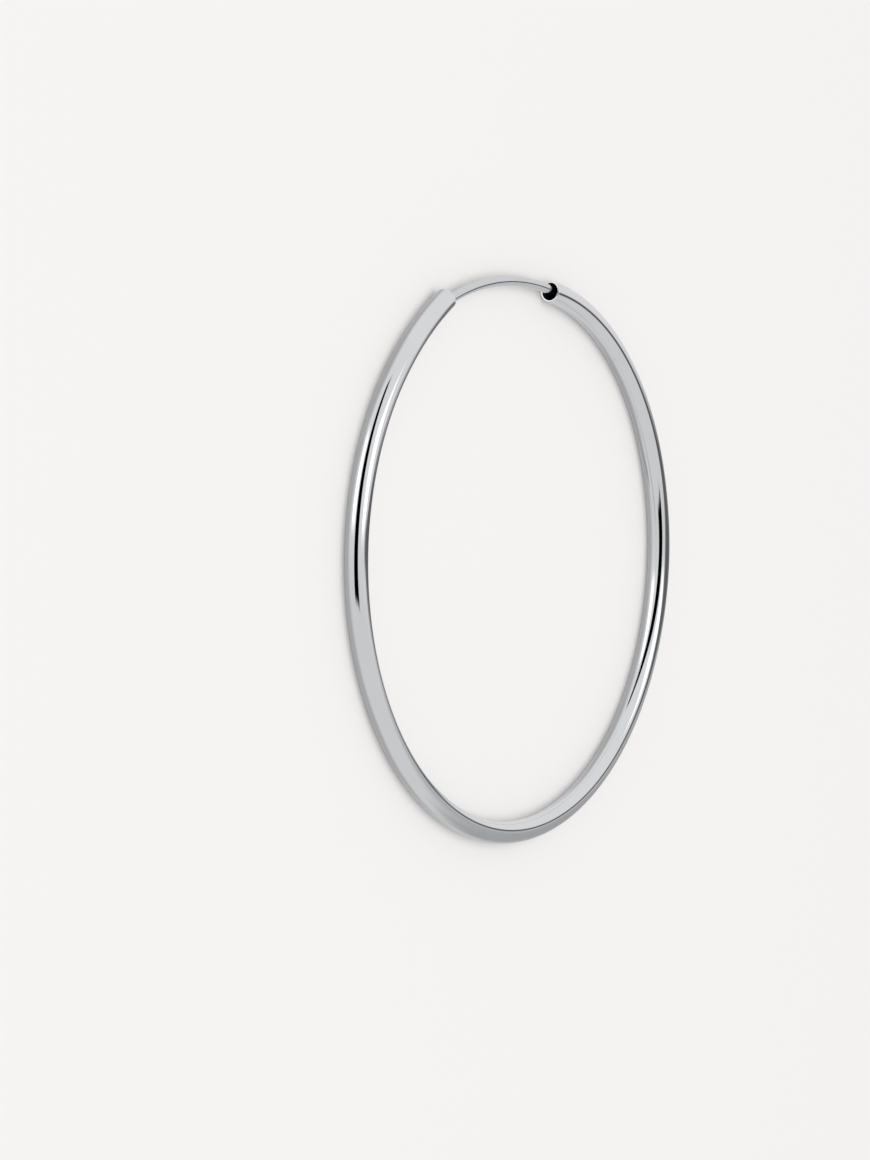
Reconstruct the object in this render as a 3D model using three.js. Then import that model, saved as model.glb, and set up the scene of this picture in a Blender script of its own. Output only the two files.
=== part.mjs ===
// Endless hoop earring of polished silver: a thin tube bent into an open hoop, and an ear wire that
// is pressed into one end of the tube and slides into the open mouth at the other end.
// Millimetres, +Z up. The hoop lies flat: its axis is +Z, and the gap with the wire is on the +Y side.
import * as THREE from 'three';

// Driving dimensions of the tube
const HOOP_OUTER_DIAMETER = 50;
const TUBE_DIAMETER = 1.9;
const TUBE_WALL = 0.2;
const TUBE_SIDES = 20; // a multiple of four, so that flats face straight down, up, in and out
const RIM_CHAMFER = 0.05;
const FIXED_END_CHAMFER = 0.15;
const PLUG_LENGTH = 3; // the tube is solid for this far behind its fixed end
const SOCKET_DEPTH = 2.3;

// The hoop's centre line is three arcs that run into each other. Hand bending leaves it a little
// slack towards the fixed end and a little tight towards the mouth. Angles are in degrees from +X.
const FIXED_JOIN_ANGLE = 143.5;
const FIXED_ARC_RADIUS = 28.6;
const FIXED_ARC_SWEEP = 20.3;
const MOUTH_JOIN_ANGLE = 27.5;
const MOUTH_ARC_RADIUS = 22.2;
const MOUTH_ARC_SWEEP = 56;

// Driving dimensions of the ear wire, whose centre line is one arc of its own
const WIRE_DIAMETER = 0.85;
const WIRE_SIDES = 12;
const WIRE_ARC_RADIUS = 27.6;
const WIRE_ARC_CENTRE_X = -0.57;
const WIRE_ARC_CENTRE_Y = -4.16;
const WIRE_DEPTH_IN_SOCKET = 2;
const WIRE_LENGTH_IN_MOUTH = 8;
const SOCKET_CLEARANCE = 0.05;

// Lengths of the straight steps that stand for the curves
const OUTSIDE_STEP = 1.3;
const BORE_STEP = 2.6;
const WIRE_STEP = 1.2;
const TIP_RINGS = 3;

const tubeRadius = TUBE_DIAMETER / 2;
const boreRadius = tubeRadius - TUBE_WALL;
const hoopRadius = (HOOP_OUTER_DIAMETER - TUBE_DIAMETER) / 2;
const wireRadius = WIRE_DIAMETER / 2;

// An arc of the XY plane about (x, y). Its stations carry the point, the outward normal and the
// direction of growing angle.
class PlaneArc {
  constructor(x, y, radius, startDegrees, endDegrees) {
    this.centre = new THREE.Vector3(x, y, 0);
    this.radius = radius;
    this.start = THREE.MathUtils.degToRad(startDegrees);
    this.end = THREE.MathUtils.degToRad(endDegrees);
  }

  station(angle) {
    const normal = new THREE.Vector3(Math.cos(angle), Math.sin(angle), 0);
    const tangent = new THREE.Vector3(-Math.sin(angle), Math.cos(angle), 0);
    const point = this.centre.clone().addScaledVector(normal, this.radius);
    return { point, normal, tangent };
  }

  // Stations from start to end, about one step apart
  stations(step) {
    const turn = this.end - this.start;
    const count = Math.max(1, Math.round((Math.abs(turn) * this.radius) / step));
    return Array.from({ length: count + 1 }, (_, i) => this.station(this.start + (turn * i) / count));
  }

  // The angle nearest to the top of the arc at which it passes through a station's end plane
  crossing({ point, tangent }) {
    const along = point.clone().sub(this.centre).dot(tangent) / this.radius;
    const facing = Math.atan2(tangent.y, tangent.x);
    const angles = [facing + Math.acos(along), facing - Math.acos(along)];
    const wrapped = angles.map((angle) => THREE.MathUtils.euclideanModulo(angle, 2 * Math.PI));
    return wrapped.sort((a, b) => Math.abs(a - Math.PI / 2) - Math.abs(b - Math.PI / 2))[0];
  }
}

// A ring of vertices round a station. The flats between them lie at the stated radius.
function ring({ point, normal }, radius, sides) {
  const up = new THREE.Vector3(0, 0, 1);
  const halfStep = Math.PI / sides;
  const corner = radius / Math.cos(halfStep);
  return Array.from({ length: sides }, (_, i) => {
    const angle = halfStep * (2 * i + 1);
    return point
      .clone()
      .addScaledVector(normal, corner * Math.cos(angle))
      .addScaledVector(up, corner * Math.sin(angle));
  });
}

function moved(station, distance) {
  return { ...station, point: station.point.clone().addScaledVector(station.tangent, distance) };
}

// A closed skin through a row of rings of the same size, closed by a point at each end
function skin(startPoint, rings, endPoint) {
  const sides = rings[0].length;
  const vertices = [startPoint, ...rings.flat(), endPoint];
  const vertexOf = (ringIndex, side) => 1 + ringIndex * sides + (side % sides);
  const last = vertices.length - 1;
  const faces = [];
  for (let side = 0; side < sides; side += 1) {
    faces.push(0, vertexOf(0, side), vertexOf(0, side + 1));
    for (let k = 0; k + 1 < rings.length; k += 1) {
      faces.push(vertexOf(k, side), vertexOf(k + 1, side), vertexOf(k + 1, side + 1));
      faces.push(vertexOf(k, side), vertexOf(k + 1, side + 1), vertexOf(k, side + 1));
    }
    faces.push(vertexOf(rings.length - 1, side), last, vertexOf(rings.length - 1, side + 1));
  }
  const geometry = new THREE.BufferGeometry().setFromPoints(vertices);
  geometry.setIndex(faces);
  geometry.computeVertexNormals();
  return geometry;
}

// The hoop's three arcs in order, from the fixed end round to the mouth
function hoopArcs() {
  const arcAt = (joinDegrees, radius, startDegrees, endDegrees) => {
    const join = THREE.MathUtils.degToRad(joinDegrees);
    const shift = hoopRadius - radius;
    return new PlaneArc(shift * Math.cos(join), shift * Math.sin(join), radius, startDegrees, endDegrees);
  };
  const fixedEndAngle = FIXED_JOIN_ANGLE - FIXED_ARC_SWEEP;
  const fullTurn = MOUTH_JOIN_ANGLE + 360;
  const fixedArc = arcAt(FIXED_JOIN_ANGLE, FIXED_ARC_RADIUS, fixedEndAngle, FIXED_JOIN_ANGLE);
  const mainArc = new PlaneArc(0, 0, hoopRadius, FIXED_JOIN_ANGLE, fullTurn);
  const mouthArc = arcAt(MOUTH_JOIN_ANGLE, MOUTH_ARC_RADIUS, fullTurn, fullTurn + MOUTH_ARC_SWEEP);
  return [fixedArc, mainArc, mouthArc];
}

// Stations along the whole hoop; the station where two arcs meet is kept once
function hoopStations(step) {
  return hoopArcs().flatMap((arc, index) => arc.stations(step).slice(index === 0 ? 0 : 1));
}

// The length along the centre line that lies between the first station and this one
function withTravel(stations) {
  let travel = 0;
  return stations.map((station, index) => {
    if (index > 0) travel += station.point.distanceTo(stations[index - 1].point);
    return { ...station, travel };
  });
}

// The wire's arc from its free tip to its inner end, and the angle at which it meets the fixed end
function wireArc() {
  const wire = new PlaneArc(WIRE_ARC_CENTRE_X, WIRE_ARC_CENTRE_Y, WIRE_ARC_RADIUS, 0, 0);
  const [fixedFace, mouthFace] = [hoopStations(OUTSIDE_STEP).at(0), hoopStations(OUTSIDE_STEP).at(-1)];
  const fixedEnd = wire.crossing(fixedFace);
  wire.start = wire.crossing(mouthFace) - WIRE_LENGTH_IN_MOUTH / WIRE_ARC_RADIUS;
  wire.end = fixedEnd + WIRE_DEPTH_IN_SOCKET / WIRE_ARC_RADIUS;
  return { fixedEnd, wire };
}

// The tube: socket for the wire, fixed end, outside, mouth and bore are one skin
function hoopTube() {
  const { fixedEnd, wire } = wireArc();
  const outside = hoopStations(OUTSIDE_STEP);
  const endFace = outside.at(0);
  const mouthFace = outside.at(-1);
  const socketRadius = wireRadius + SOCKET_CLEARANCE;

  const socketFloor = wire.station(fixedEnd + SOCKET_DEPTH / WIRE_ARC_RADIUS);
  const socketMiddle = wire.station(fixedEnd + SOCKET_DEPTH / WIRE_ARC_RADIUS / 2);
  const socketMouth = { ...endFace, point: wire.station(fixedEnd).point };
  const socket = [socketFloor, socketMiddle, socketMouth].map((at) => ring(at, socketRadius, TUBE_SIDES));

  const outsideRings = [
    ring(endFace, tubeRadius - FIXED_END_CHAMFER, TUBE_SIDES),
    ring(moved(endFace, FIXED_END_CHAMFER), tubeRadius, TUBE_SIDES),
    ...outside.slice(1, -1).map((at) => ring(at, tubeRadius, TUBE_SIDES)),
    ring(moved(mouthFace, -RIM_CHAMFER), tubeRadius, TUBE_SIDES),
    ring(mouthFace, tubeRadius - RIM_CHAMFER, TUBE_SIDES),
  ];

  const hollow = withTravel(hoopStations(BORE_STEP)).filter((at) => at.travel > PLUG_LENGTH);
  const bore = [
    ring(mouthFace, boreRadius + RIM_CHAMFER, TUBE_SIDES),
    ring(moved(mouthFace, -RIM_CHAMFER), boreRadius, TUBE_SIDES),
    ...hollow.slice(0, -1).reverse().map((at) => ring(at, boreRadius, TUBE_SIDES)),
  ];
  return skin(socketFloor.point, [...socket, ...outsideRings, ...bore], hollow.at(0).point);
}

// The ear wire: flat at the end in the socket, rounded at its free tip in the mouth
function earWire() {
  const { wire } = wireArc();
  const stations = wire.stations(WIRE_STEP);
  const tip = stations.at(0);
  const tipRings = Array.from({ length: TIP_RINGS }, (_, i) => {
    const turn = ((i + 1) / (TIP_RINGS + 1)) * (Math.PI / 2);
    return ring(moved(tip, -wireRadius * Math.cos(turn)), wireRadius * Math.sin(turn), WIRE_SIDES);
  });
  const shaft = stations.map((at) => ring(at, wireRadius, WIRE_SIDES));
  return skin(moved(tip, -wireRadius).point, [...tipRings, ...shaft], stations.at(-1).point);
}

function piece(name, geometry, colour, roughness) {
  const material = new THREE.MeshStandardMaterial({ color: colour, roughness, metalness: 1 });
  const mesh = new THREE.Mesh(geometry, material);
  mesh.name = name;
  return mesh;
}

const earring = new THREE.Group();
earring.add(piece('hoop_tube', hoopTube(), 0xd3d5d6, 0.12));
earring.add(piece('ear_wire', earWire(), 0xcccecf, 0.18));

// The tube lies on the ground at z = 0, and the origin is in the middle of what the earring covers
const box = new THREE.Box3().setFromObject(earring);
const middle = box.getCenter(new THREE.Vector3());
earring.position.set(-middle.x, -middle.y, tubeRadius);

export default earring;
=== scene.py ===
"""Looks of an endless hoop earring of polished silver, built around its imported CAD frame.

The hoop lies on its side on a pale studio floor. The ring is a thin hollow tube; a fine ear wire
leaves its closed end and slides into its open mouth. Everything is in metres, in the row frame.
"""

import logging
import math
from dataclasses import dataclass
from enum import Enum
from typing import Callable

import bpy  # noqa: E402
from mathutils import Matrix, Vector  # noqa: E402

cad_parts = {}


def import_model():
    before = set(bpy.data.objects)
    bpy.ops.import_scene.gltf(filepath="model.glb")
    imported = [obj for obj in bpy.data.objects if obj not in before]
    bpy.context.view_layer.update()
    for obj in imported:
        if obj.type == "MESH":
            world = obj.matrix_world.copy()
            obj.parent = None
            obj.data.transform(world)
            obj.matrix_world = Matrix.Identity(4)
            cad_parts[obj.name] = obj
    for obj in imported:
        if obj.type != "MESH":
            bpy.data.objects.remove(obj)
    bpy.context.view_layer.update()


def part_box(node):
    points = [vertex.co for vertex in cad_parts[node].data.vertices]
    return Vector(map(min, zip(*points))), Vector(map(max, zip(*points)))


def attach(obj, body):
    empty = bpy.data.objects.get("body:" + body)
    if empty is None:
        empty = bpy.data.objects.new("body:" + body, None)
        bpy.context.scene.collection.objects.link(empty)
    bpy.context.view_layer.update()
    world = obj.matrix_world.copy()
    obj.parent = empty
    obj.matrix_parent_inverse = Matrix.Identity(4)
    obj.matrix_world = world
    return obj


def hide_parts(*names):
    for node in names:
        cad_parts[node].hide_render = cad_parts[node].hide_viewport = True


LOG = logging.getLogger("hoop_earring")
MM = 0.001
Color = tuple[float, float, float, float]


class SelectMode(Enum):
    """What an edit-mode selection is made of."""

    VERTEX = (True, False, False)
    EDGE = (False, True, False)


# ---------------------------------------------------------------------------------- modelling


def deselect_everything() -> None:
    if bpy.context.mode != "OBJECT":
        bpy.ops.object.mode_set(mode="OBJECT")
    bpy.ops.object.select_all(action="DESELECT")


def make_active(piece: bpy.types.Object) -> None:
    """Select one object alone and make it active."""
    deselect_everything()
    piece.select_set(True)
    bpy.context.view_layer.objects.active = piece


def edit_selected_edges(piece: bpy.types.Object, wanted: Callable[[Vector, Vector], bool]) -> int:
    """Enter edit mode with the edges selected that a test accepts.

    Args:
        piece: The mesh object.
        wanted: Test on the places of an edge's two ends.

    Returns:
        How many edges were selected.
    """
    make_active(piece)
    mesh = piece.data
    bpy.context.tool_settings.mesh_select_mode = SelectMode.EDGE.value
    for group in (mesh.vertices, mesh.edges, mesh.polygons):
        group.foreach_set("select", [False] * len(group))
    chosen = [e for e in mesh.edges if wanted(*(mesh.vertices[i].co for i in e.vertices))]
    for edge in chosen:
        edge.select = True
    bpy.ops.object.mode_set(mode="EDIT")
    return len(chosen)


@dataclass(frozen=True)
class Arc:
    """An arc of the hoop's plane. Angles are in radians from +X."""

    centre: Vector
    radius: float
    start: float
    end: float

    def outward(self, angle: float) -> Vector:
        """The unit vector from the arc's centre at an angle."""
        return Vector((math.cos(angle), math.sin(angle), 0))

    def forward(self, angle: float) -> Vector:
        """The unit vector of growing angle."""
        return Vector((-math.sin(angle), math.cos(angle), 0))

    def point(self, angle: float) -> Vector:
        """The arc's point at an angle."""
        return self.centre + self.radius * self.outward(angle)

    def length(self) -> float:
        """The arc's own length."""
        return abs(self.end - self.start) * self.radius

    def steps(self, step: float) -> int:
        """How many straight steps of about this length follow the arc."""
        return max(1, round(self.length() / step))

    def crossing(self, point: Vector, tangent: Vector) -> float:
        """The angle near the top at which the arc passes a plane.

        Args:
            point: A point of the plane.
            tangent: The plane's unit normal.

        Returns:
            The crossing nearest to a quarter turn, in radians.
        """
        facing = math.atan2(tangent.y, tangent.x)
        swing = math.acos((point - self.centre).dot(tangent) / self.radius)
        both = [(facing + side * swing) % math.tau for side in (-1, 1)]
        return min(both, key=lambda angle: abs(angle - math.pi / 2))


@dataclass
class HoopPath:
    """The centre line of the bent tube: three arcs that run into each other."""

    centre: Vector
    radius: float
    fixed_join: float = math.radians(143.5)
    fixed_radius: float = 28.6 * MM
    fixed_sweep: float = math.radians(20.3)
    mouth_join: float = math.radians(27.5)
    mouth_radius: float = 22.2 * MM
    mouth_sweep: float = math.radians(56)

    def arcs(self) -> list[Arc]:
        """The arcs in order, from the fixed end round to the mouth."""
        full_turn = self.mouth_join + math.tau
        fixed_centre = self._joined_centre(self.fixed_join, self.fixed_radius)
        mouth_centre = self._joined_centre(self.mouth_join, self.mouth_radius)
        return [
            Arc(fixed_centre, self.fixed_radius, self.fixed_join - self.fixed_sweep, self.fixed_join),
            Arc(self.centre, self.radius, self.fixed_join, full_turn),
            Arc(mouth_centre, self.mouth_radius, full_turn, full_turn + self.mouth_sweep),
        ]

    def _joined_centre(self, join: float, radius: float) -> Vector:
        """The centre of an arc that touches the main arc at an angle."""
        away = Vector((math.cos(join), math.sin(join), 0))
        return self.centre + (self.radius - radius) * away

    def locate(self, place: Vector) -> tuple[float, float]:
        """Where a point is along the hoop.

        Args:
            place: A point on or near the tube.

        Returns:
            The length along the centre line and the distance outward from it.
        """
        arcs = self.arcs()
        lengths = [arc.length() for arc in arcs]
        around = math.atan2(place.y - self.centre.y, place.x - self.centre.x) % math.tau
        if self.fixed_join <= around or around < self.mouth_join:
            index = 1
        else:
            index = 0 if around > math.pi / 2 + math.radians(8) else 2
        arc = arcs[index]
        offset = place.xy - arc.centre.xy
        angle = math.atan2(offset.y, offset.x)
        angle += math.tau * round((0.5 * (arc.start + arc.end) - angle) / math.tau)
        travel = sum(lengths[:index]) + (angle - arc.start) * arc.radius
        return travel, offset.length - arc.radius


class RingSweep:
    """A ring of edges carried along by extrusions, scalings and spins, as by hand."""

    def __init__(self, name: str, at: Vector, angle: float, radius: float, sides: int) -> None:
        """Add the first ring.

        Args:
            name: The new object's name.
            at: The ring's centre.
            angle: The ring lies in the upright plane that holds this direction, in radians from +X.
            radius: The ring's radius.
            sides: How many sides the ring has.
        """
        deselect_everything()
        bpy.ops.mesh.primitive_circle_add(
            vertices=sides, radius=radius, location=at, rotation=(math.pi / 2, 0, angle)
        )
        self.piece = bpy.context.object
        self.piece.name = name
        self.piece.data.name = name
        bpy.ops.object.transform_apply(location=True, rotation=True, scale=True)
        bpy.context.tool_settings.mesh_select_mode = SelectMode.VERTEX.value
        bpy.ops.object.mode_set(mode="EDIT")
        bpy.ops.mesh.select_all(action="SELECT")
        self.at = at.copy()
        self.radius = radius

    def push(self, shift: Vector) -> None:
        """Extrude the ring and move it."""
        bpy.ops.mesh.extrude_region_move(TRANSFORM_OT_translate={"value": shift})
        self.at += shift

    def scale(self, radius: float) -> None:
        """Extrude the ring and scale it about its own centre to a radius."""
        self.push(Vector((0, 0, 0)))
        share = radius / self.radius
        bpy.ops.transform.resize(value=(share, share, share), center_override=self.at)
        self.radius = radius

    def spin(self, arc: Arc, start: float, end: float, step: float) -> None:
        """Spin the ring about an arc's centre.

        Args:
            arc: The arc that the ring's centre follows.
            start: The angle at which the ring is now.
            end: The angle at which it stops.
            step: About how far each straight step goes.
        """
        part = Arc(arc.centre, arc.radius, start, end)
        bpy.ops.mesh.spin(
            steps=part.steps(step), angle=start - end, center=arc.centre, axis=(0, 0, 1)
        )
        self.at = arc.point(end)

    def fill(self) -> None:
        """Close the ring with one face."""
        bpy.ops.mesh.edge_face_add()

    def finish(self) -> bpy.types.Object:
        """Merge doubled points, turn the faces outward and leave edit mode.

        Returns:
            The modelled object.
        """
        bpy.ops.mesh.select_all(action="SELECT")
        bpy.ops.mesh.remove_doubles(threshold=0.001 * MM)
        bpy.ops.mesh.normals_make_consistent(inside=False)
        bpy.ops.object.mode_set(mode="OBJECT")
        return self.piece


def round_ring(piece: bpy.types.Object, at: Vector, tangent: Vector, radius: float, by: float) -> None:
    """Bevel the ring of edges of one radius that lies in a plane.

    Args:
        piece: The mesh object.
        at: The ring's centre.
        tangent: The plane's unit normal.
        radius: The ring's radius.
        by: How far the bevel reaches.
    """
    slack = 0.01 * MM

    def on_ring(place: Vector) -> bool:
        away = place - at
        return abs(away.dot(tangent)) < slack and abs(away.length - radius) < slack

    count = edit_selected_edges(piece, lambda a, b: on_ring(a) and on_ring(b))
    if count == 0:
        raise ValueError(f"{piece.name}: no ring of radius {radius} at {tuple(at)}")
    bpy.ops.mesh.bevel(offset=by, segments=5, affect="EDGES")
    bpy.ops.object.mode_set(mode="OBJECT")


def add_straight_attribute(
    piece: bpy.types.Object, locate: Callable[[Vector], tuple[float, float]], height: float
) -> None:
    """Store where each point would be if the piece were straight, for patterns that follow it.

    Args:
        piece: The mesh object.
        locate: Gives a point's length along the piece and its distance outward.
        height: The height of the piece's centre line above the floor.
    """
    values: list[float] = []
    for vertex in piece.data.vertices:
        travel, outward = locate(vertex.co)
        values += [travel, outward, vertex.co.z - height]
    layer = piece.data.attributes.new("straight", "FLOAT_VECTOR", "POINT")
    layer.data.foreach_set("vector", values)


def add_mask(piece: bpy.types.Object, name: str, value: Callable[[Vector], float]) -> None:
    """Store a mask from 0 to 1 on each point.

    Args:
        piece: The mesh object.
        name: The attribute's name.
        value: Gives the mask at a place.
    """
    layer = piece.data.attributes.new(name, "FLOAT", "POINT")
    layer.data.foreach_set("value", [value(v.co) for v in piece.data.vertices])


# ------------------------------------------------------------------------------------ finishes


class NodeBench:
    """Adds and links shader nodes in one tree, from left to right."""

    def __init__(self, tree: bpy.types.NodeTree) -> None:
        """Start on an empty tree."""
        self.tree = tree
        self.column = 0

    def add(self, kind: str, **settings: object) -> bpy.types.Node:
        """Add a node.

        Args:
            kind: The node's type name.
            settings: Properties of the node.

        Returns:
            The node.
        """
        node = self.tree.nodes.new(kind)
        node.location = (220 * self.column, 0)
        self.column += 1
        for name, value in settings.items():
            setattr(node, name, value)
        return node

    def link(self, source: bpy.types.NodeSocket, target: bpy.types.NodeSocket) -> None:
        """Link an output to an input."""
        self.tree.links.new(source, target)

    def math(self, operation: str, first: object, second: object = 0.0) -> bpy.types.NodeSocket:
        """Add a Math node.

        Args:
            operation: The node's operation.
            first: A socket or a number.
            second: A socket or a number.

        Returns:
            The node's output.
        """
        node = self.add("ShaderNodeMath", operation=operation)
        for index, value in enumerate((first, second)):
            self.feed(value, node.inputs[index])
        return node.outputs[0]

    def feed(self, value: object, target: bpy.types.NodeSocket) -> None:
        """Link a socket to an input, or set a plain value on it."""
        if isinstance(value, bpy.types.NodeSocket):
            self.link(value, target)
        else:
            target.default_value = value

    def map_range(self, value: object, low: float, high: float, to_low: object, to_high: object):
        """Add a clamped Map Range node.

        Args:
            value: The socket to map.
            low: Where the output is to_low.
            high: Where the output is to_high.
            to_low: The output's first end.
            to_high: The output's other end.

        Returns:
            The node's output.
        """
        node = self.add("ShaderNodeMapRange", clamp=True)
        for name, number in (("From Min", low), ("From Max", high), ("To Min", to_low), ("To Max", to_high)):
            self.feed(number, node.inputs[name])
        self.feed(value, node.inputs["Value"])
        return node.outputs["Result"]


def new_group(name: str, inputs: dict[str, tuple[str, float]], outputs: list[str]):
    """Make an empty shader node group.

    Args:
        name: The group's name.
        inputs: For each input its socket type and default value.
        outputs: The names of the float outputs.

    Returns:
        The group, its bench, its input node and its output node.
    """
    group = bpy.data.node_groups.new(name, "ShaderNodeTree")
    for label, (kind, default) in inputs.items():
        socket = group.interface.new_socket(label, in_out="INPUT", socket_type=kind)
        if kind == "NodeSocketFloat":
            socket.default_value = default
    for label in outputs:
        group.interface.new_socket(label, in_out="OUTPUT", socket_type="NodeSocketFloat")
    bench = NodeBench(group)
    entry = bench.add("NodeGroupInput")
    leave = bench.add("NodeGroupOutput")
    return group, bench, entry, leave


@dataclass(frozen=True)
class DrawnLines:
    """Fine lines that drawing through a die leaves along a tube or a wire."""

    group_name: str = "drawn_lines"

    def group(self) -> bpy.types.NodeTree:
        """The effect's node group, made once."""
        found = bpy.data.node_groups.get(self.group_name)
        if found:
            return found
        inputs = {
            "Straight": ("NodeSocketVector", 0.0),
            "Density": ("NodeSocketFloat", 9000.0),
            "Stretch": ("NodeSocketFloat", 0.02),
            "Depth": ("NodeSocketFloat", 1.0),
        }
        group, bench, entry, leave = new_group(self.group_name, inputs, ["Height", "Mask"])
        parts = bench.add("ShaderNodeSeparateXYZ")
        bench.link(entry.outputs["Straight"], parts.inputs[0])
        slow = bench.math("MULTIPLY", parts.outputs["X"], entry.outputs["Stretch"])
        joined = bench.add("ShaderNodeCombineXYZ")
        bench.link(slow, joined.inputs["X"])
        bench.link(parts.outputs["Y"], joined.inputs["Y"])
        bench.link(parts.outputs["Z"], joined.inputs["Z"])
        noise = bench.add("ShaderNodeTexNoise", noise_dimensions="3D")
        noise.inputs["Detail"].default_value = 3.0
        noise.inputs["Roughness"].default_value = 0.6
        bench.link(joined.outputs[0], noise.inputs["Vector"])
        bench.link(entry.outputs["Density"], noise.inputs["Scale"])
        bench.link(bench.math("MULTIPLY", noise.outputs[0], entry.outputs["Depth"]), leave.inputs["Height"])
        bench.link(bench.map_range(noise.outputs[0], 0.35, 0.65, 0.0, 1.0), leave.inputs["Mask"])
        return group


@dataclass(frozen=True)
class HandlingMarks:
    """Sparse hairlines and small rubbed patches from wear and polishing cloths."""

    group_name: str = "handling_marks"

    def group(self) -> bpy.types.NodeTree:
        """The effect's node group, made once."""
        found = bpy.data.node_groups.get(self.group_name)
        if found:
            return found
        inputs = {
            "Place": ("NodeSocketVector", 0.0),
            "Scale": ("NodeSocketFloat", 900.0),
            "Rarity": ("NodeSocketFloat", 0.9),
            "Depth": ("NodeSocketFloat", 1.0),
        }
        group, bench, entry, leave = new_group(self.group_name, inputs, ["Height", "Mask"])
        warp = bench.add("ShaderNodeTexNoise", noise_dimensions="3D")
        warp.inputs["Scale"].default_value = 160.0
        bench.link(entry.outputs["Place"], warp.inputs["Vector"])
        bend = bench.add("ShaderNodeVectorMath", operation="SCALE")
        bend.inputs["Scale"].default_value = 1.5 * MM
        bench.link(warp.outputs["Color"], bend.inputs[0])
        moved = bench.add("ShaderNodeVectorMath", operation="ADD")
        bench.link(entry.outputs["Place"], moved.inputs[0])
        bench.link(bend.outputs[0], moved.inputs[1])
        cells = bench.add("ShaderNodeTexVoronoi", feature="DISTANCE_TO_EDGE")
        bench.link(moved.outputs[0], cells.inputs["Vector"])
        bench.link(entry.outputs["Scale"], cells.inputs["Scale"])
        hair = bench.map_range(cells.outputs["Distance"], 0.0, 0.02, 1.0, 0.0)
        patch = bench.add("ShaderNodeTexNoise", noise_dimensions="3D")
        patch.inputs["Scale"].default_value = 420.0
        bench.link(entry.outputs["Place"], patch.inputs["Vector"])
        spread = bench.math("SUBTRACT", patch.outputs[0], bench.math("MULTIPLY", entry.outputs["Rarity"], 0.62))
        shown = bench.map_range(spread, 0.0, 0.12, 0.0, 1.0)
        mark = bench.math("MULTIPLY", hair, shown)
        bench.link(bench.math("MULTIPLY", mark, entry.outputs["Depth"]), leave.inputs["Height"])
        bench.link(mark, leave.inputs["Mask"])
        return group


@dataclass(frozen=True)
class SoftTarnish:
    """Faint clouds of tarnish that dull and warm the metal in patches."""

    group_name: str = "soft_tarnish"

    def group(self) -> bpy.types.NodeTree:
        """The effect's node group, made once."""
        found = bpy.data.node_groups.get(self.group_name)
        if found:
            return found
        inputs = {
            "Place": ("NodeSocketVector", 0.0),
            "Scale": ("NodeSocketFloat", 220.0),
            "Amount": ("NodeSocketFloat", 0.5),
        }
        group, bench, entry, leave = new_group(self.group_name, inputs, ["Mask"])
        broad = bench.add("ShaderNodeTexNoise", noise_dimensions="3D")
        broad.inputs["Detail"].default_value = 6.0
        broad.inputs["Roughness"].default_value = 0.55
        bench.link(entry.outputs["Place"], broad.inputs["Vector"])
        bench.link(entry.outputs["Scale"], broad.inputs["Scale"])
        cloud = bench.map_range(broad.outputs[0], 0.42, 0.72, 0.0, 1.0)
        bench.link(bench.math("MULTIPLY", cloud, entry.outputs["Amount"]), leave.inputs["Mask"])
        return group


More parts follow.
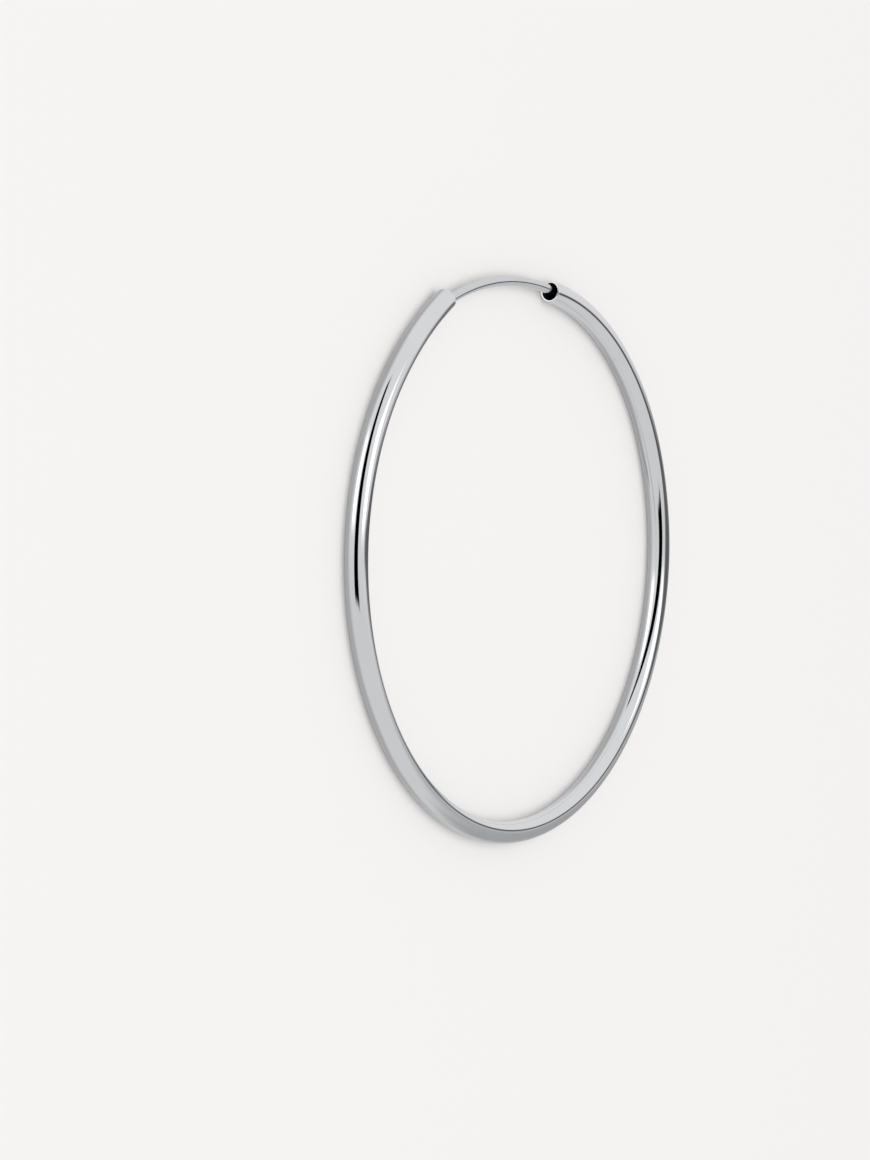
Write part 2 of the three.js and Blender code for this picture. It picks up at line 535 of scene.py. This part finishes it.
@dataclass(frozen=True)
class SilverFinish:
    """Polished silver with fine lines along it, faint tarnish, a bright rim, and painted shade that colours the bore's
    inside near-black.
    """

    name: str
    bright: Color
    tarnished: Color
    painted_bore_shade: Color
    smoothness: float
    line_density: float
    line_depth: float
    mark_depth: float
    tarnish_amount: float

    def material(self) -> bpy.types.Material:
        """Build the material.

        Returns:
            The material, with its shader fed by the shared effect groups.
        """
        made = bpy.data.materials.new(self.name)
        made.use_nodes = True
        made.node_tree.nodes.clear()
        bench = NodeBench(made.node_tree)
        straight = bench.add("ShaderNodeAttribute", attribute_name="straight").outputs["Vector"]
        place = bench.add("ShaderNodeTexCoord").outputs["Object"]
        rim = bench.add("ShaderNodeAttribute", attribute_name="rim").outputs["Fac"]
        bore = bench.add("ShaderNodeAttribute", attribute_name="bore").outputs["Fac"]

        lines = self._effect(bench, DrawnLines().group(), Straight=straight, Density=self.line_density)
        marks = self._effect(bench, HandlingMarks().group(), Place=place)
        tarnish = self._effect(bench, SoftTarnish().group(), Place=place, Amount=self.tarnish_amount)

        clean = bench.math("SUBTRACT", 1.0, rim)
        dull = bench.math("MULTIPLY", tarnish.outputs["Mask"], clean)
        body = self._mix(bench, dull, self.bright, self.tarnished)
        # painted shade: the bore's inside is mixed to near-black, standing in for the dark inside the tube
        colour = self._mix(bench, bore, body, self.painted_bore_shade)

        rough = bench.map_range(lines.outputs["Mask"], 0.0, 1.0, self.smoothness, self.smoothness * 1.5)
        rough = bench.math("ADD", rough, bench.math("MULTIPLY", dull, 0.05))
        rough = bench.math("ADD", rough, bench.math("MULTIPLY", marks.outputs["Mask"], 0.12))
        rough = bench.math("ADD", rough, bench.math("MULTIPLY", rim, 0.06))
        rough = bench.math("ADD", rough, bench.math("MULTIPLY", bore, 0.5))

        deep = bench.math("MULTIPLY", lines.outputs["Height"], self.line_depth)
        cut = bench.math("MULTIPLY", marks.outputs["Height"], self.mark_depth)
        bump = bench.add("ShaderNodeBump")
        bump.inputs["Strength"].default_value = 1.0
        bump.inputs["Distance"].default_value = MM
        bench.link(bench.math("SUBTRACT", deep, cut), bump.inputs["Height"])

        shader = bench.add("ShaderNodeBsdfPrincipled")
        shader.inputs["Metallic"].default_value = 1.0
        bench.link(colour, shader.inputs["Base Color"])
        bench.link(rough, shader.inputs["Roughness"])
        bench.link(bump.outputs[0], shader.inputs["Normal"])
        output = bench.add("ShaderNodeOutputMaterial")
        bench.link(shader.outputs[0], output.inputs["Surface"])
        return made

    @staticmethod
    def _effect(bench: NodeBench, group: bpy.types.NodeTree, **values: object) -> bpy.types.Node:
        """Place an effect group with its own values."""
        node = bench.add("ShaderNodeGroup", node_tree=group)
        for name, value in values.items():
            bench.feed(value, node.inputs[name])
        return node

    @staticmethod
    def _mix(bench: NodeBench, share: object, first: object, second: object) -> bpy.types.NodeSocket:
        """Mix two colours by a share and return the result's socket."""
        node = bench.add("ShaderNodeMix", data_type="RGBA")
        bench.feed(share, node.inputs[0])
        bench.feed(first, node.inputs[6])
        bench.feed(second, node.inputs[7])
        return node.outputs[2]


TUBE_SILVER = SilverFinish(
    name="polished_silver",
    bright=(0.93, 0.94, 0.95, 1),
    tarnished=(0.86, 0.85, 0.83, 1),
    # painted shade colour for the inside of the bore
    painted_bore_shade=(0.02, 0.02, 0.021, 1),
    smoothness=0.045,
    line_density=7000.0,
    line_depth=0.00035,
    mark_depth=0.0006,
    tarnish_amount=0.35,
)

WIRE_SILVER = SilverFinish(
    name="wire_silver",
    bright=(0.83, 0.84, 0.85, 1),
    tarnished=(0.76, 0.75, 0.73, 1),
    # painted shade colour for a bore, unused on the wire, whose bore mask is 0
    painted_bore_shade=(0.02, 0.02, 0.021, 1),
    smoothness=0.07,
    line_density=12000.0,
    line_depth=0.0004,
    mark_depth=0.0005,
    tarnish_amount=0.5,
)


# ------------------------------------------------------------------------------------ the hoop


@dataclass
class HoopTube:
    """The hollow tube: socket, fixed end, outside, mouth and bore are one skin."""

    path: HoopPath
    wire: "EarWire"
    radius: float
    wall: float = 0.2 * MM
    sides: int = 72
    outside_step: float = 0.42 * MM
    bore_step: float = 0.84 * MM
    fixed_rounding: float = 0.15 * MM
    rim_rounding: float = 0.08 * MM
    plug_length: float = 3 * MM
    socket_depth: float = 2.3 * MM
    socket_clearance: float = 0.05 * MM
    rim_reach: float = 0.35 * MM
    bore_fade: float = 0.12 * MM

    def build(self) -> bpy.types.Object:
        """Model the tube, dress it and hang it on the frame.

        Returns:
            The tube's object.
        """
        piece = self._model()
        self._round_ends(piece)
        self._mark(piece)
        piece.data.materials.append(TUBE_SILVER.material())
        make_active(piece)
        bpy.ops.object.shade_smooth_by_angle(angle=math.radians(35))
        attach(piece, "root")
        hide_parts("hoop_tube")
        LOG.info("hoop tube: %d faces", len(piece.data.polygons))
        return piece

    def _bore_radius(self) -> float:
        """The inside radius."""
        return self.radius - self.wall

    def _model(self) -> bpy.types.Object:
        """Sweep one ring out of the socket, round the hoop and back down the bore."""
        fixed, main, mouth = self.path.arcs()
        socket_radius = self.wire.radius + self.socket_clearance
        socket_mouth, into_socket = self.wire.fixed_crossing(self.path)
        sweep = RingSweep("polished_hoop_tube", socket_mouth, fixed.start, socket_radius, self.sides)
        sweep.push(into_socket * self.socket_depth)
        sweep.fill()
        piece = sweep.finish()

        end_tangent = fixed.forward(fixed.start)
        edit_selected_edges(piece, self._in_plane(socket_mouth, end_tangent))
        sweep.at = socket_mouth.copy()
        sweep.push(Vector((0, 0, 0)))
        bpy.ops.transform.translate(value=fixed.point(fixed.start) - socket_mouth)
        sweep.at = fixed.point(fixed.start)
        share = self.radius / socket_radius
        bpy.ops.transform.resize(value=(share, share, share), center_override=sweep.at)
        sweep.radius = self.radius
        for arc in (fixed, main, mouth):
            sweep.spin(arc, arc.start, arc.end, self.outside_step)
        sweep.scale(self._bore_radius())
        plug_angle = fixed.start + self.plug_length / fixed.radius
        sweep.spin(mouth, mouth.end, mouth.start, self.bore_step)
        sweep.spin(main, main.end, main.start, self.bore_step)
        sweep.spin(fixed, fixed.end, plug_angle, self.bore_step)
        sweep.fill()
        return sweep.finish()

    @staticmethod
    def _in_plane(at: Vector, tangent: Vector) -> Callable[[Vector, Vector], bool]:
        """A test for edges that lie in a plane."""
        slack = 0.001 * MM
        return lambda a, b: abs((a - at).dot(tangent)) < slack and abs((b - at).dot(tangent)) < slack

    def _round_ends(self, piece: bpy.types.Object) -> None:
        """Soften the fixed end's corner and both edges of the mouth's rim."""
        fixed, _, mouth = self.path.arcs()
        start, end = fixed.point(fixed.start), mouth.point(mouth.end)
        round_ring(piece, start, fixed.forward(fixed.start), self.radius, self.fixed_rounding)
        round_ring(piece, end, mouth.forward(mouth.end), self.radius, self.rim_rounding)
        round_ring(piece, end, mouth.forward(mouth.end), self._bore_radius(), self.rim_rounding)

    def _mark(self, piece: bpy.types.Object) -> None:
        """Store the straightened place, the rim mask and the mask of the bore's painted shade."""
        total = sum(arc.length() for arc in self.path.arcs())
        height = self.path.centre.z

        def depth_and_reach(place: Vector) -> tuple[float, float, float]:
            travel, outward = self.path.locate(place)
            across = math.hypot(outward, place.z - height)
            return travel, total - travel, across

        def rim(place: Vector) -> float:
            from_fixed, from_mouth, _ = depth_and_reach(place)
            nearest = min(abs(from_mouth), abs(from_fixed) * 2)
            return max(0.0, 1 - nearest / self.rim_reach)

        # painted shade mask: 1 over the bore's inside, fading in from the mouth and the fixed end
        def bore(place: Vector) -> float:
            from_fixed, from_mouth, across = depth_and_reach(place)
            inside = across < self._bore_radius() + 0.25 * self.wall
            depth = min(from_mouth, from_fixed)
            return min(1.0, max(0.0, depth / self.bore_fade)) if inside else 0.0

        add_straight_attribute(piece, self.path.locate, height)
        add_mask(piece, "rim", rim)
        add_mask(piece, "bore", bore)


@dataclass
class EarWire:
    """The thin wire on one arc, pressed into the fixed end and free in the mouth."""

    hoop_centre: Vector
    radius: float = 0.425 * MM
    arc_radius: float = 27.6 * MM
    arc_offset: tuple[float, float] = (-0.57 * MM, -4.16 * MM)
    depth_in_socket: float = 2 * MM
    length_in_mouth: float = 8 * MM
    sides: int = 40
    step: float = 0.2 * MM
    tip_rings: int = 7
    inner_rounding: float = 0.08 * MM

    def arc(self) -> Arc:
        """The arc that the wire follows, with no ends yet."""
        centre = self.hoop_centre + Vector((*self.arc_offset, 0))
        return Arc(centre, self.arc_radius, 0, 0)

    def fixed_crossing(self, path: HoopPath) -> tuple[Vector, Vector]:
        """Where the wire enters the fixed end.

        Args:
            path: The hoop's centre line.

        Returns:
            The point in the plane of the end face and the unit vector into the socket.
        """
        arc, fixed = self.arc(), path.arcs()[0]
        angle = arc.crossing(fixed.point(fixed.start), fixed.forward(fixed.start))
        return arc.point(angle), arc.forward(angle)

    def ends(self, path: HoopPath) -> tuple[float, float]:
        """The wire's two end angles.

        Args:
            path: The hoop's centre line.

        Returns:
            The angle of the free tip in the mouth and of the inner end in the socket.
        """
        arc = self.arc()
        fixed, _, mouth = path.arcs()
        at_fixed = arc.crossing(fixed.point(fixed.start), fixed.forward(fixed.start))
        at_mouth = arc.crossing(mouth.point(mouth.end), mouth.forward(mouth.end))
        tip = at_mouth - self.length_in_mouth / self.arc_radius
        return tip, at_fixed + self.depth_in_socket / self.arc_radius

    def build(self, path: HoopPath) -> bpy.types.Object:
        """Model the wire, dress it and hang it on the frame.

        Args:
            path: The hoop's centre line, in whose ends the wire sits.

        Returns:
            The wire's object.
        """
        arc = self.arc()
        tip, inner = self.ends(path)
        inner_at = arc.point(inner)
        sweep = RingSweep("polished_ear_wire", inner_at, inner, self.radius, self.sides)
        sweep.fill()
        sweep.spin(arc, inner, tip, self.step)
        self._round_tip(sweep, arc, tip)
        piece = sweep.finish()
        round_ring(piece, inner_at, arc.forward(inner), self.radius, self.inner_rounding)

        def locate(place: Vector) -> tuple[float, float]:
            offset = place.xy - arc.centre.xy
            return math.atan2(offset.y, offset.x) * self.arc_radius, offset.length - self.arc_radius

        add_straight_attribute(piece, locate, self.hoop_centre.z)
        add_mask(piece, "rim", lambda place: 0.0)
        add_mask(piece, "bore", lambda place: 0.0)
        piece.data.materials.append(WIRE_SILVER.material())
        make_active(piece)
        bpy.ops.object.shade_smooth_by_angle(angle=math.radians(35))
        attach(piece, "root")
        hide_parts("ear_wire")
        LOG.info("ear wire: %d faces", len(piece.data.polygons))
        return piece

    def _round_tip(self, sweep: RingSweep, arc: Arc, tip: float) -> None:
        """Close the free tip with a dome of shrinking rings."""
        ahead = -arc.forward(tip)
        reached = 0.0
        for ring in range(1, self.tip_rings):
            turn = ring / self.tip_rings * math.pi / 2
            sweep.push(ahead * (self.radius * math.sin(turn) - reached))
            reached = self.radius * math.sin(turn)
            share = self.radius * math.cos(turn) / sweep.radius
            bpy.ops.transform.resize(value=(share, share, share), center_override=sweep.at)
            sweep.radius *= share
        sweep.fill()


# ---------------------------------------------------------------------------------- the studio


@dataclass(frozen=True)
class SoftPatch:
    """A feathered patch of painted reflection on the tent, stated by bearing and lift in degrees."""

    group_name: str = "soft_patch"

    def group(self) -> bpy.types.NodeTree:
        """The effect's node group, made once."""
        found = bpy.data.node_groups.get(self.group_name)
        if found:
            return found
        labels = ["Bearing", "Lift", "Side", "Centre Bearing", "Centre Lift", "Half Width", "Half Height",
                  "Lean", "Curve", "Taper", "Side Shift", "Side Lean", "Side Curve", "Side Width",
                  "Along", "Along Shift", "Along Width", "Feather", "End Feather"]
        inputs = {label: ("NodeSocketFloat", 0.0) for label in labels}
        group, bench, entry, leave = new_group(self.group_name, inputs, ["Mask"])
        get = entry.outputs
        side = get["Side"]
        rise = bench.math("SUBTRACT", get["Lift"], get["Centre Lift"])
        rise = bench.math("SUBTRACT", rise, bench.math("MULTIPLY", get["Along Shift"], get["Along"]))
        curve = bench.math("ADD", get["Curve"], bench.math("MULTIPLY", get["Side Curve"], side))
        lean = bench.math("ADD", get["Lean"], bench.math("MULTIPLY", get["Side Lean"], side))
        lean = bench.math("ADD", lean, bench.math("MULTIPLY", curve, rise))
        shift = bench.math("MULTIPLY", get["Side Shift"], side)
        middle = bench.math("ADD", bench.math("MULTIPLY", lean, rise), shift)
        middle = bench.math("ADD", middle, get["Centre Bearing"])
        away = bench.add("ShaderNodeMath", operation="WRAP")
        bench.link(bench.math("SUBTRACT", get["Bearing"], middle), away.inputs[0])
        away.inputs[1].default_value = 180.0
        away.inputs[2].default_value = -180.0
        half = bench.math("ADD", get["Half Width"], bench.math("MULTIPLY", get["Side Width"], side))
        half = bench.math("ADD", half, bench.math("MULTIPLY", get["Along Width"], get["Along"]))
        half = bench.math("ADD", half, bench.math("MULTIPLY", get["Taper"], rise))
        across = bench.math("SUBTRACT", half, bench.math("ABSOLUTE", away.outputs[0]))
        along = bench.math("SUBTRACT", get["Half Height"], bench.math("ABSOLUTE", rise))
        across = self._feathered(bench, across, get["Feather"])
        along = self._feathered(bench, along, get["End Feather"])
        bench.link(bench.math("MULTIPLY", across, along), leave.inputs["Mask"])
        return group

    @staticmethod
    def _feathered(bench: NodeBench, depth: object, feather: object) -> bpy.types.NodeSocket:
        """Turn a depth inside an edge into a smooth 0 to 1 over the feather's width."""
        node = bench.add("ShaderNodeMapRange", interpolation_type="SMOOTHSTEP")
        bench.feed(depth, node.inputs["Value"])
        bench.feed(bench.math("MULTIPLY", feather, -0.5), node.inputs["From Min"])
        bench.feed(bench.math("MULTIPLY", feather, 0.5), node.inputs["From Max"])
        return node.outputs["Result"]


@dataclass(frozen=True)
class TentMark:
    """One feathered tone of painted reflection on the tent. Angles are in degrees.

    Bearing turns from straight up over the hoop towards +X, and lift tilts towards +Y. The side
    figures change the mark for the hoop's +X side (added) and its -X side (taken away); the along
    figures do the same for its +Y and -Y sides.
    """

    tone: float
    bearing: float
    lift: float
    half_width: float
    half_height: float
    lean: float = 0.0
    curve: float = 0.0
    taper: float = 0.0
    side_shift: float = 0.0
    side_lean: float = 0.0
    side_curve: float = 0.0
    side_width: float = 0.0
    along_shift: float = 0.0
    along_width: float = 0.0
    feather: float = 4.0
    end_feather: float = 4.0

    def mask(self, bench: NodeBench, bearing: object, lift: object, side: object, along: object):
        """Add the patch's group with this mark's figures and return its mask."""
        node = bench.add("ShaderNodeGroup", node_tree=SoftPatch().group())
        figures = {
            "Bearing": bearing, "Lift": lift, "Side": side, "Centre Bearing": self.bearing,
            "Centre Lift": self.lift, "Half Width": self.half_width, "Half Height": self.half_height,
            "Lean": self.lean, "Curve": self.curve, "Taper": self.taper, "Side Shift": self.side_shift,
            "Side Lean": self.side_lean, "Side Curve": self.side_curve, "Side Width": self.side_width,
            "Along": along,
            "Along Shift": self.along_shift, "Along Width": self.along_width,
            "Feather": self.feather, "End Feather": self.end_feather,
        }
        for name, value in figures.items():
            bench.feed(value, node.inputs[name])
        return node.outputs["Mask"]


@dataclass
class PaintedReflectionTent:
    """A round glowing tent that only mirror rays see, painting the reflections in the silver: the bright and dark
    fields that it shows.
    """

    centre: Vector
    marks: tuple[TentMark, ...]
    radius: float = 0.6
    plain_tone: float = 0.72
    tint: Color = (0.98, 0.99, 1.0, 1)
    side_reach: float = 22 * MM

    def build(self) -> bpy.types.Object:
        """Model the tent and paint it.

        Returns:
            The tent's object.
        """
        deselect_everything()
        bpy.ops.mesh.primitive_uv_sphere_add(segments=48, ring_count=24, radius=self.radius)
        tent = bpy.context.object
        tent.name = "painted_reflection_tent"
        bpy.ops.transform.translate(value=self.centre)
        bpy.ops.object.transform_apply(location=True, rotation=True, scale=True)
        tent.data.materials.append(self._material())
        # seen by mirror rays alone, so the tent only paints reflections in the silver
        tent.visible_camera = False
        tent.visible_diffuse = False
        tent.visible_shadow = False
        return tent

    def _material(self) -> bpy.types.Material:
        """A glow of painted reflections, whose tone follows the direction of the mirror ray and where on the hoop the
        ray left.
        """
        made = bpy.data.materials.new("painted_reflection_tent")
        made.use_nodes = True
        made.node_tree.nodes.clear()
        bench = NodeBench(made.node_tree)
        geometry = bench.add("ShaderNodeNewGeometry")
        ray = bench.add("ShaderNodeLightPath").outputs["Ray Length"]
        back = bench.add("ShaderNodeVectorMath", operation="SCALE")
        bench.link(geometry.outputs["Incoming"], back.inputs[0])
        bench.link(ray, back.inputs["Scale"])
        source = bench.add("ShaderNodeVectorMath", operation="ADD")
        bench.link(geometry.outputs["Position"], source.inputs[0])
        bench.link(back.outputs[0], source.inputs[1])
        start = bench.add("ShaderNodeSeparateXYZ")
        bench.link(source.outputs[0], start.inputs[0])
        side = bench.map_range(start.outputs["X"], -self.side_reach, self.side_reach, -1.0, 1.0)
        along = bench.map_range(start.outputs["Y"], -self.side_reach, self.side_reach, -1.0, 1.0)

        ahead = bench.add("ShaderNodeVectorMath", operation="SCALE")
        ahead.inputs["Scale"].default_value = -1.0
        bench.link(geometry.outputs["Incoming"], ahead.inputs[0])
        way = bench.add("ShaderNodeSeparateXYZ")
        bench.link(ahead.outputs[0], way.inputs[0])
        turn = bench.math("ARCTAN2", way.outputs["X"], way.outputs["Z"])
        bearing = bench.math("DEGREES", turn)
        lift = bench.math("DEGREES", bench.math("ARCSINE", way.outputs["Y"]))

        tone: object = self.plain_tone
        for mark in self.marks:
            blend = bench.add("ShaderNodeMix", data_type="FLOAT")
            bench.link(mark.mask(bench, bearing, lift, side, along), blend.inputs[0])
            bench.feed(tone, blend.inputs[2])
            blend.inputs[3].default_value = mark.tone
            tone = blend.outputs[0]
        glow = bench.add("ShaderNodeEmission")
        glow.inputs["Color"].default_value = self.tint
        bench.link(tone, glow.inputs["Strength"])
        output = bench.add("ShaderNodeOutputMaterial")
        bench.link(glow.outputs[0], output.inputs["Surface"])
        return made


@dataclass
class Studio:
    """A pale floor, soft light, and a tent of painted reflections whose fields the metal mirrors."""

    centre: Vector
    marks: tuple[TentMark, ...]
    floor_size: float = 3.0
    floor_colour: Color = (0.905, 0.886, 0.867, 1)
    sky_glow: float = 0.66
    sky_colour: Color = (0.985, 0.995, 1.0, 1)
    softbox_size: float = 1.3
    softbox_height: float = 1.1
    softbox_aside: float = 0.25
    softbox_watts: float = 6.62

    def build(self) -> None:
        """Build the floor, the light and the tent."""
        self._floor()
        self._sky()
        self._softbox()
        # painted reflections: a glowing tent that only the silver's mirror rays see
        PaintedReflectionTent(self.centre, self.marks).build()
        LOG.info("studio: %d marks on the tent", len(self.marks))

    def _floor(self) -> None:
        """A flat sheet of pale matt paper, which the silver doesn't mirror."""
        deselect_everything()
        bpy.ops.mesh.primitive_plane_add(size=self.floor_size, location=(0, 0, 0))
        floor = bpy.context.object
        floor.name = "studio_floor"
        floor.visible_glossy = False
        made = bpy.data.materials.new("pale_paper")
        made.use_nodes = True
        shader = made.node_tree.nodes["Principled BSDF"]
        shader.inputs["Base Color"].default_value = self.floor_colour
        shader.inputs["Roughness"].default_value = 0.9
        shader.inputs["Specular IOR Level"].default_value = 0.1
        floor.data.materials.append(made)

    def _sky(self) -> None:
        """Even light from all round."""
        world = bpy.data.worlds.new("soft_studio")
        bpy.context.scene.world = world
        world.use_nodes = True
        background = world.node_tree.nodes["Background"]
        background.inputs["Color"].default_value = self.sky_colour
        background.inputs["Strength"].default_value = self.sky_glow

    def _softbox(self) -> None:
        """A broad light overhead that lifts the floor and isn't mirrored."""
        light = bpy.data.lights.new("overhead_softbox", "AREA")
        light.shape = "SQUARE"
        light.size = self.softbox_size
        light.energy = self.softbox_watts
        box = bpy.data.objects.new("overhead_softbox", light)
        bpy.context.scene.collection.objects.link(box)
        box.location = self.centre + Vector((-self.softbox_aside, 0, self.softbox_height))
        box.rotation_euler = (0, -math.atan2(self.softbox_aside, self.softbox_height), 0)
        box.visible_glossy = False


# every mark paints reflections in the silver; nothing else sees the tent
TENT_MARKS = (
    # painted reflection: the lower half of the tent, a little darker than the upper half
    TentMark(tone=0.62, bearing=0, lift=-50, half_width=190, half_height=50, end_feather=30),
    TentMark(tone=0.4, bearing=175, lift=0, half_width=40, half_height=62, feather=50, end_feather=30),
    TentMark(tone=0.37, bearing=78, lift=-28, half_width=16, half_height=34, along_width=-18,
             feather=36, end_feather=30),
    # painted reflections of bright panels on either side of the camera
    TentMark(tone=1.3, bearing=1, lift=16, half_width=17, half_height=13, feather=8, end_feather=8),
    TentMark(tone=1.3, bearing=-109, lift=24, half_width=17, half_height=16, feather=8, end_feather=10),
    # painted reflection of the far edge between floor and wall
    TentMark(tone=0.1, bearing=62, lift=1, half_width=42, half_height=2.4, side_width=6, along_shift=-9,
             feather=26, end_feather=3),
    TentMark(tone=0.12, bearing=54, lift=1, half_width=22, half_height=4.2, side_width=16, along_shift=-9,
             feather=24, end_feather=4),
    TentMark(tone=0.1, bearing=52, lift=1, half_width=7, half_height=6.5, side_width=6, along_shift=-9,
             along_width=12, feather=14, end_feather=5),
    TentMark(tone=0.18, bearing=75, lift=3, half_width=4, half_height=6, side_width=8, along_shift=-4,
             feather=9, end_feather=6),
    # painted reflections of thin seams of the sheets under the hoop, which its +X side shows near its inner edge
    TentMark(tone=0.34, bearing=-106, lift=-40, half_width=0.5, half_height=24, lean=0.64, side_width=3,
             feather=4, end_feather=10),
    TentMark(tone=0.3, bearing=180, lift=-28, half_width=5, half_height=3.5, side_width=40, feather=14,
             end_feather=4),
    # painted reflection of the dark camera side
    TentMark(tone=0.0, bearing=-60.5, lift=22, half_width=17, half_height=40.5, lean=-0.45,
             curve=-0.0045, taper=-0.09, side_shift=5.5, side_lean=-0.35, side_curve=-0.0045, feather=5, end_feather=5),
)


@dataclass
class StudioCamera:
    """The camera: low over the floor on the -X side, with the gap at the picture's top."""

    target: Vector
    elevation: float = math.radians(33.66)
    roll: float = math.radians(-1.86)
    distance: float = 399.3 * MM
    lens: float = 143.7
    aside: float = 6.94 * MM
    above: float = 2.27 * MM

    def build(self) -> bpy.types.Object:
        """Add the camera and make it the scene's.

        Returns:
            The camera's object.
        """
        back = Vector((-math.cos(self.elevation), 0, math.sin(self.elevation)))
        level = Vector((math.sin(self.elevation), 0, math.cos(self.elevation)))
        gap = Vector((0, 1, 0))
        right = math.cos(self.roll) * level - math.sin(self.roll) * gap
        up = math.sin(self.roll) * level + math.cos(self.roll) * gap
        data = bpy.data.cameras.new("studio_camera")
        data.lens = self.lens
        data.sensor_width = 36
        data.clip_start = 10 * MM
        camera = bpy.data.objects.new("studio_camera", data)
        bpy.context.scene.collection.objects.link(camera)
        turn = Matrix((right, up, back)).transposed()
        camera.matrix_world = turn.to_4x4()
        camera.location = self.target - self.aside * right - self.above * up + self.distance * back
        bpy.context.scene.camera = camera
        return camera


# ---------------------------------------------------------------------------------------- main


def write_sizes() -> None:
    """Bring the view layer up to date."""
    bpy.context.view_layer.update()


def main() -> None:
    """Build the earring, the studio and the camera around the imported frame."""
    logging.basicConfig(level=logging.INFO)
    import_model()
    low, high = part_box("hoop_tube")
    outer_radius = (high.x - low.x) / 2
    tube_radius = (high.z - low.z) / 2
    centre = Vector(((low.x + high.x) / 2, low.y + outer_radius, tube_radius))
    path = HoopPath(centre=centre, radius=outer_radius - tube_radius)
    wire = EarWire(hoop_centre=centre)
    HoopTube(path=path, wire=wire, radius=tube_radius).build()
    wire.build(path)
    Studio(centre=centre, marks=TENT_MARKS).build()
    StudioCamera(target=centre).build()
    bpy.context.scene.view_settings.view_transform = "Standard"
    write_sizes()


if __name__ == "__main__":
    main()
